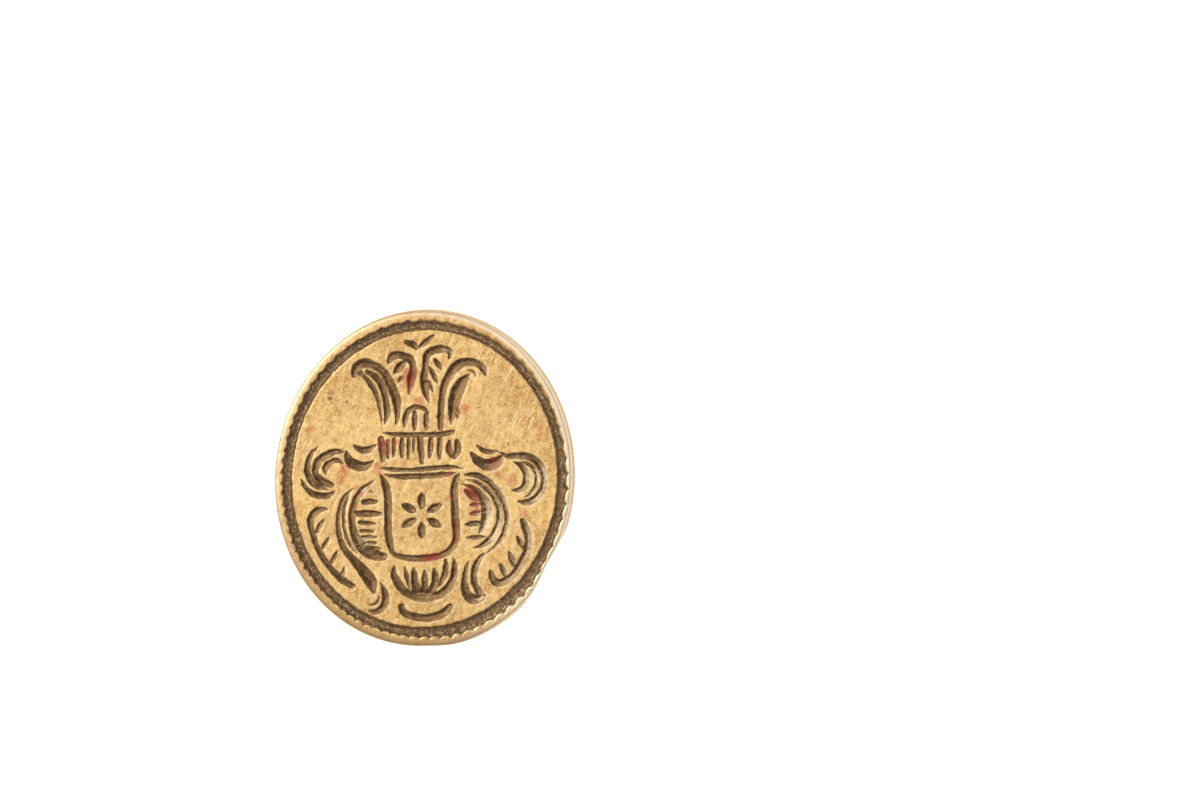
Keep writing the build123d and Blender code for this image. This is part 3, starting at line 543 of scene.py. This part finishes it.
def cut_finder(half_width, half_length):
    """Make a function that tells how far spots are inside a stroke and past the groove's two edges."""
    mesh = frame["nodes"]["seal_plate"].data
    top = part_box("seal_plate")[1].z

    def share(face):
        return math.hypot(face.center.x / MM / half_width, face.center.y / MM / half_length)

    def is_land(face):
        return face.normal.z > LEVEL_LEAST and face.center.z > top - LAND_SLACK * MM

    def is_floor(face):
        return face.normal.z > LEVEL_LEAST and face.center.z < top - FLOOR_DROP * MM

    field = flat_tree(mesh, lambda face: is_land(face) and share(face) < RIM_SHARE)
    rim = flat_tree(mesh, lambda face: is_land(face) and share(face) > RIM_SHARE)
    strokes = flat_tree(mesh, lambda face: is_floor(face) and share(face) < GROOVE_SHARE)
    groove = flat_tree(mesh, lambda face: is_floor(face) and share(face) > GROOVE_SHARE)

    def upright_cuts(spots):
        from_field = distances(field, spots)
        from_rim = distances(rim, spots)
        from_stroke = distances(strokes, spots)
        from_groove = distances(groove, spots)
        in_groove = from_groove < HAIR
        field_side = from_field < from_rim
        return (np.where(from_stroke < HAIR, from_field, -from_stroke),
                np.where(in_groove | ~field_side, from_field, -from_groove),
                np.where(in_groove | field_side, from_rim, -from_groove))

    def leaning_cuts(spots):
        """The cuts, with each stroke's deepest line moved towards the light."""
        in_stroke, past_inner, past_outer = upright_cuts(spots)
        lean = CUT_LEAN * np.clip(in_stroke, 0, None)
        leaned = upright_cuts(spots - lean[:, None] * np.array([*LIGHT_FROM, 0]))[0]
        return np.where(in_stroke > 0, np.maximum(leaned, 0), in_stroke), past_inner, past_outer

    return leaning_cuts


def in_any_cut(in_stroke, past_inner, past_outer):
    """How far places are inside a stroke or the groove."""
    return np.maximum(in_stroke, np.minimum(past_inner, past_outer))


def soft_lip(inside):
    """Distance into a cut, with the sharp start at its edge worn round."""
    return LIP_ROUND * np.log1p(np.exp(np.clip(inside / LIP_ROUND, -LIP_LIMIT, LIP_LIMIT)))


def groove_depth(past_inner, past_outer, rubbed, eased):
    """Depth of the border groove: a steep inner wall, a bed that rises outwards, and an outer wall."""
    across = past_inner / np.maximum(np.abs(past_inner) + np.abs(past_outer), HAIR)
    bed = GROOVE_DEPTH * (1 - smooth_step(GROOVE_BED_FADE, across) * (1 - GROOVE_SHALLOW))
    inner_wall = 1 - np.exp(-soft_lip(past_inner + rubbed) / GROOVE_INNER_WALL)
    outer_run = GROOVE_OUTER_WALL + GROOVE_OUTER_EASE * eased
    outer_wall = 1 - np.exp(-soft_lip(past_outer + rubbed) / outer_run)
    return bed * inner_wall * outer_wall


def engraving(places, half_width, half_length):
    """At each place of the face: the depth cut away, the burr thrown up, how far inside a stained cut it
    is, and how far the wall or lip there faces the light, from -1 to 1."""
    find_cuts = cut_finder(half_width, half_length)
    wander = [noise_at(places, EDGE_WANDER_PITCH, plane) * EDGE_WANDER for plane in EDGE_WANDER_PLANES]
    walked = places + np.stack([*wander, np.zeros(len(places))], axis=1)
    in_stroke, past_inner, past_outer = find_cuts(walked)
    inside = in_any_cut(in_stroke, past_inner, past_outer)
    step_inside = in_any_cut(*find_cuts(walked + FACING_STEP * np.array([*LIGHT_FROM, 0])))
    facing = np.clip((step_inside - inside) / FACING_STEP, -1, 1)
    swing = UNEVEN_SWING * noise_at(places, EDGE_WANDER_PITCH * 2, UNEVEN_PLANE)
    uneven = np.clip(UNEVEN_MEAN + swing, UNEVEN_LEAST, 1)
    rubbed = SHARP_REACH * (uneven * np.clip(facing, 0, 1) - 1)

    angle = np.arctan2(places[:, 1], places[:, 0])
    past_outer = past_outer + GROOVE_SWELL * swollen(angle)
    eased = towards(angle, GROOVE_EASE_WAY, GROOVE_EASE_FADE)
    stroke_depth = CUT_LIMIT * (1 - np.exp(-CUT_SLOPE * soft_lip(in_stroke + rubbed) / CUT_LIMIT))
    depth = np.maximum(stroke_depth, groove_depth(past_inner, past_outer, rubbed, eased))
    ripple = noise_at(places, CUT_RIPPLE_PITCH, FINE_RIPPLE_PLANE)
    ripple += noise_at(places, CUT_RIPPLE_PITCH * 2, COARSE_RIPPLE_PLANE)
    depth += CUT_RIPPLE * ripple * smooth_step(CUT_RIPPLE_FADE, depth)

    inside = in_any_cut(in_stroke, past_inner, past_outer)
    burr = BURR_HEIGHT * uneven * np.exp(-((inside + rubbed + BURR_WIDTH) / BURR_WIDTH) ** 2)
    stained = in_any_cut(in_stroke, past_inner, past_outer - GROOVE_BARE * eased)
    in_groove = np.minimum(past_inner, past_outer)
    # In and beside the groove, the facing that sets painted light and shade is kept only towards the lower
    # right, weak and reversed inside the groove
    groove_lit = towards(angle, GROOVE_LIT_WAY, GROOVE_LIT_FADE) * np.where(in_groove > 0, GROOVE_LIT, 1)
    facing = np.where(in_stroke > in_groove, facing, facing * groove_lit)
    return depth, np.clip(burr, 0, BURR_HEIGHT), np.clip(stained, -MARK_REACH, MARK_REACH), facing


# The plate

def round_map(across, up):
    """A place in a square of half side 1, moved to the disc of radius 1 so that squares become rings."""
    if across == 0 and up == 0:
        return 0.0, 0.0
    if abs(across) > abs(up):
        reach = across
        angle = math.pi / 4 * up / across
    else:
        reach = up
        angle = math.pi / 2 - math.pi / 4 * across / up
    return reach * math.cos(angle), reach * math.sin(angle)


def face_places(shape, solid, shoulder, half_width, half_length):
    """Where each vertex of a square grid goes on the face, and how far that is from the worn outline."""
    places = []
    margins = []
    for vert in shape.verts:
        u, v = round_map(vert.co.x, vert.co.y)
        reach = math.hypot(u, v)
        x = u * half_width
        y = v * half_length
        margin = half_width
        if reach > RIM_BLEND:
            edge = worn_reach(solid, math.atan2(y, x), shoulder)
            oval = math.hypot(x, y) / reach
            pull = 1 + (edge / oval - 1) * (reach - RIM_BLEND) / (1 - RIM_BLEND)
            x *= pull
            y *= pull
            margin = max(edge - math.hypot(x, y), 0)
        places.append((x, y, 0))
        margins.append(margin)
    return np.array(places), np.array(margins)


def face_heights(places, margins, depth, burr, top):
    """The height of each place: cuts and burrs on faintly waved land that is worn down at its edge."""
    wave = LAND_WAVE * (noise_at(places, LAND_WAVE_PITCH, LAND_WAVE_PLANE) - 1) / 2
    short = np.clip(1 - margins / EDGE_WEAR, 0, 1)
    level = np.sqrt(1 - short ** 2)
    heights = top - BURR_HEIGHT + (burr + wave) * (1 - short) - depth * level - EDGE_DROP * (1 - level)
    return np.minimum(heights, top)


def face_marks(places, margins, share, inside, facing):
    """What the finish reads at each place of the face."""
    angles = np.arctan2(places[:, 1], places[:, 0])
    outline = 1 - smooth_step((0.0, RIM_DARK_REACH), margins)
    rim = 1 - smooth_step((RIM_PALE_REACH / 2, RIM_PALE_REACH), margins)
    low_rim_shade = 1 - smooth_step((RIM_LOW_REACH / 2, RIM_LOW_REACH), margins)
    pale = RIM_PALE_LEAST + (1 - RIM_PALE_LEAST) * towards(angles, RIM_PALE_WAY, RIM_PALE_FADE)
    # Dust film that thickens to the right, where it is partly painted light
    land_dust_and_light = DUST_AND_LIGHT_FILM * smooth_step(DUST_AND_LIGHT_FILM_FADE, places[:, 0])
    film = np.where(share > GROOVE_SHARE, GROOVE_DUST, land_dust_and_light)
    return {
        "inside": inside,
        "facing": facing,
        # Painted reflection on the rim, strongest towards the right
        "rim": pale * rim,
        # Painted shade on the lower rim
        "low_rim_shade": RIM_LOW_SHADE * low_rim_shade * towards(angles, RIM_LOW_WAY, RIM_LOW_FADE),
        # Painted shade on the outline at the upper left
        "side": outline * towards(angles, RIM_DARK_WAY, RIM_DARK_FADE),
        # Pale dust, partly painted light
        "dust_and_painted_light": np.maximum(traces(places, DUST_TRACES), film),
        "wax": traces(places, WAX_TRACES),
        "stain": traces(places, STAINS),
    }


def side_marks(angle):
    """What the finish reads on the plate's edge and back, where a mark isn't 0: painted shade on the edge
    towards the right.
    """
    # Painted shade on the edge towards the right
    return {"inside": -MARK_REACH, "side": SIDE_DARK * towards(angle, SIDE_DARK_WAY, SIDE_DARK_FADE)}


def edge_and_back(shape, layers, solid, low, shoulder):
    """Draw the face's outline down the plate's edge, over its back and into the recess, and close it."""
    edge_height = low.z + BACK_RISE
    recess_wall = solid.ray_cast(Vector((0, 0, low.z + RECESS_PROBE)), Vector((1, 0, 0)))[0].x
    recess_top = solid.ray_cast(Vector((0, 0, low.z - RAY_START)), Vector((0, 0, 1)))[0].z
    rows = [(None, (edge_height + shoulder) / 2), (None, edge_height + RAY_LIFT), (None, low.z + RAY_LIFT),
            (recess_wall, low.z), (recess_wall, recess_top)]
    edge = [line for line in shape.edges if line.is_boundary]
    for radius, height in rows:
        made = bmesh.ops.extrude_edge_only(shape, edges=edge)["geom"]
        edge = [line for line in made if isinstance(line, bmesh.types.BMEdge) and line.is_boundary]
        for vert in {vert for line in edge for vert in line.verts}:
            angle = math.atan2(vert.co.y, vert.co.x)
            reach = radius or worn_reach(solid, angle, height)
            vert.co = (reach * math.cos(angle), reach * math.sin(angle), height)
            marks = side_marks(angle)
            for name, layer in layers.items():
                vert[layer] = marks.get(name, 0)
    made = bmesh.ops.extrude_edge_only(shape, edges=edge)["geom"]
    last = [vert for vert in made if isinstance(vert, bmesh.types.BMVert)]
    bmesh.ops.pointmerge(shape, verts=last, merge_co=(0, 0, recess_top))


def seal_plate():
    """The oval plate: a fine mesh over the engraved face, drawn down its edge and over its back."""
    solid = solid_tree(frame["nodes"]["seal_plate"].data)
    low, high = (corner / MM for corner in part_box("seal_plate"))
    shoulder = high.z - EDGE_DROP
    half_width = outline_reach(solid, math.pi, shoulder)
    half_length = outline_reach(solid, math.pi / 2, shoulder)
    shape = bmesh.new()
    bmesh.ops.create_grid(shape, x_segments=FACE_CELLS, y_segments=FACE_CELLS, size=1)
    shape.verts.ensure_lookup_table()

    places, margins = face_places(shape, solid, shoulder, half_width, half_length)
    share = np.hypot(places[:, 0] / half_width, places[:, 1] / half_length)
    depth, burr, inside, facing = engraving(places, half_width, half_length)
    heights = face_heights(places, margins, depth, burr, high.z)
    marks = face_marks(places, margins, share, inside, facing)
    layers = {name: shape.verts.layers.float.new(name) for name in PLATE_MARKS}
    for row, vert in enumerate(shape.verts):
        vert.co = (places[row][0], places[row][1], heights[row])
        for name, layer in layers.items():
            vert[layer] = marks[name][row]

    edge_and_back(shape, layers, solid, low, shoulder)
    bmesh.ops.recalc_face_normals(shape, faces=shape.faces)
    bmesh.ops.transform(shape, matrix=Matrix.Scale(MM, 4), verts=shape.verts)
    return placed("seal_plate_engraved", shape)


def placed(name, shape):
    """Make a smoothly shaded object of a finished mesh."""
    mesh = bpy.data.meshes.new(name)
    shape.to_mesh(mesh)
    shape.free()
    mesh.shade_smooth()
    piece = bpy.data.objects.new(name, mesh)
    bpy.context.scene.collection.objects.link(piece)
    return piece


# Stage

def soft_light(name, face, side, power, place):
    """A square soft light at a place from the middle of the face, which it is aimed at."""
    lamp = bpy.data.lights.new(name, "AREA")
    lamp.shape = "SQUARE"
    lamp.size = side * MM
    lamp.energy = power
    light = bpy.data.objects.new(name, lamp)
    light.location = (Vector((0, 0, face)) + Vector(place)) * MM
    light.rotation_euler = (-Vector(place)).to_track_quat("-Z", "Y").to_euler()
    bpy.context.scene.collection.objects.link(light)


def floor():
    """A wide sheet under the foot."""
    shape = bmesh.new()
    bmesh.ops.create_grid(shape, x_segments=1, y_segments=1, size=FLOOR_REACH * MM)
    sheet = placed("floor", shape)
    sheet.data.materials.append(finish_of("pale_floor", pale_floor))


def bright_room():
    """White surroundings that are brighter on the side of the key light."""
    world = bpy.data.worlds.new("studio")
    bpy.context.scene.world = world
    world.use_nodes = True
    tree = world.node_tree
    way = Surface(tree).node("ShaderNodeTexCoord", output="Generated")
    brightest = Vector(BRIGHT_TOWARDS).normalized()
    settings = {"operation": "DOT_PRODUCT"}
    lit = way.node("ShaderNodeVectorMath", settings, {0: way, 1: brightest}, output="Value")
    strength = ROOM_STRENGTH + lit.between(*BRIGHT_FADE) * BRIGHT_GAIN
    tree.links.new(strength.socket, tree.nodes["Background"].inputs["Strength"])
    tree.nodes["Background"].inputs["Color"].default_value = (1, 1, 1, 1)


def camera_over(face):
    """A camera that looks straight down on the face, with the device upright."""
    lens = bpy.data.cameras.new("camera")
    lens.sensor_width = SENSOR_WIDTH
    lens.lens = SENSOR_WIDTH * CAMERA_HEIGHT / VIEW_WIDTH
    lens.clip_start = CAMERA_NEAR * MM
    camera = bpy.data.objects.new("camera", lens)
    camera.location = Vector((*VIEW_CENTRE, face + CAMERA_HEIGHT)) * MM
    camera.rotation_euler = (0, 0, DEVICE_TURN)
    bpy.context.scene.collection.objects.link(camera)
    bpy.context.scene.camera = camera


def stage():
    """Floor, lights, surroundings and camera."""
    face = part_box("seal_plate")[1].z / MM
    floor()
    soft_light("overhead", face, **OVERHEAD_LIGHT)
    soft_light("key", face, **KEY_LIGHT)
    bright_room()
    bpy.context.scene.view_settings.view_transform = "Standard"
    camera_over(face)


FINISHES = {
    "engraved_brass": engraved_brass,
    "turned_brass": turned_brass,
    "steel": turned_steel,
    "hardwood": waxed_hardwood,
    "leather": washer_leather,
}
finishes = {slot: finish_of(slot, build) for slot, build in FINISHES.items()}
slot_of = {part["node"]: part["material_slot"] for part in frame["record"]["subparts"]}
for node, piece in frame["nodes"].items():
    piece.data.materials.clear()
    piece.data.materials.append(finishes[slot_of[node]])

plate = seal_plate()
plate.data.materials.append(finishes["engraved_brass"])
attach(plate, "matrix")
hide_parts("seal_plate")

stage()
